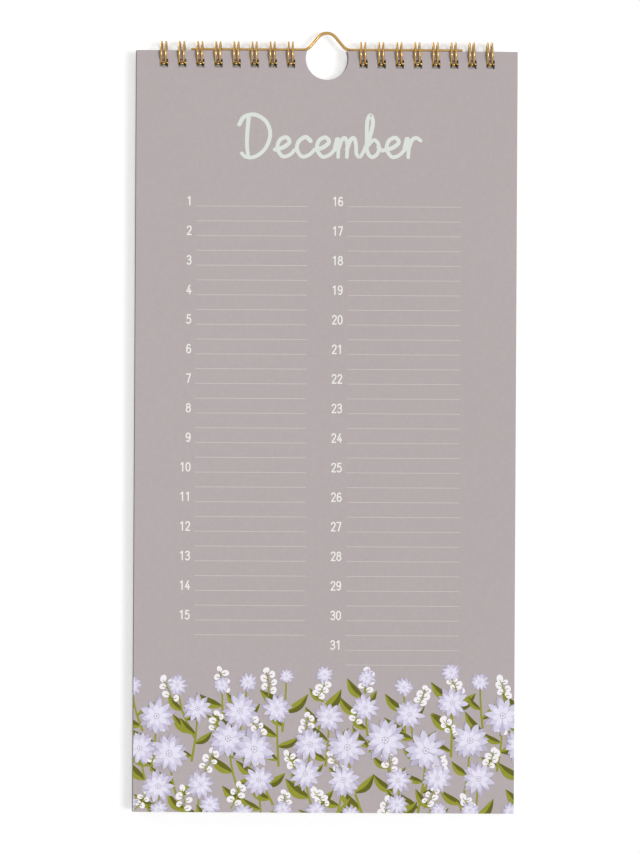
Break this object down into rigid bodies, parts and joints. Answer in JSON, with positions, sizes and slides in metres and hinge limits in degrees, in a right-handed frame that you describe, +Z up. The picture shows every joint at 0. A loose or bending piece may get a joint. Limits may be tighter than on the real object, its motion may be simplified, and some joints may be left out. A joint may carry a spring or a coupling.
{
  "type": "wall calendar",
  "caption": "Tall wire-bound wall calendar: punched sheets and a backing board on twin-loop wire combs, with a thumb notch and a bent wire hanger.",
  "frame": {"origin": "where the nail bears, on the inside of the hanger's crown", "axes": "+Z up as hung, the page on show faces -Y, the wall is on +Y, +X to the reader's right"},
  "size_m": [0.1783, 0.012, 0.3651],
  "materials": {
    "printed_paper": "matt uncoated, printed",
    "plain_paper": "matt uncoated",
    "board": "matt pressed board",
    "gold_wire": "gold-coated steel wire"
  },
  "bodies": {
    "hanger": {"hanger": "gold_wire"},
    "binding": {"wire_left": "gold_wire", "wire_right": "gold_wire", "backing_board": "board", "cover_sheet": "printed_paper", "turned_pages": "plain_paper"},
    "december": {"december_sheet": "printed_paper"},
    "november": {"november_sheet": "plain_paper"}
  },
  "joints": [
    {"name": "hanger_swing", "type": "hinge", "parent": "hanger", "child": "binding", "pos_m": [0, 0, -0.0072], "axis": [-1, 0, 0], "range_deg": [-90, 90]},
    {"name": "december_turn", "type": "hinge", "parent": "binding", "child": "december", "pos_m": [0, 0, -0.00915], "axis": [-1, 0, 0], "range_deg": [0, 180]},
    {"name": "november_turn", "type": "hinge", "parent": "binding", "child": "november", "pos_m": [0, 0, -0.00915], "axis": [1, 0, 0], "range_deg": [0, 180]}
  ]
}
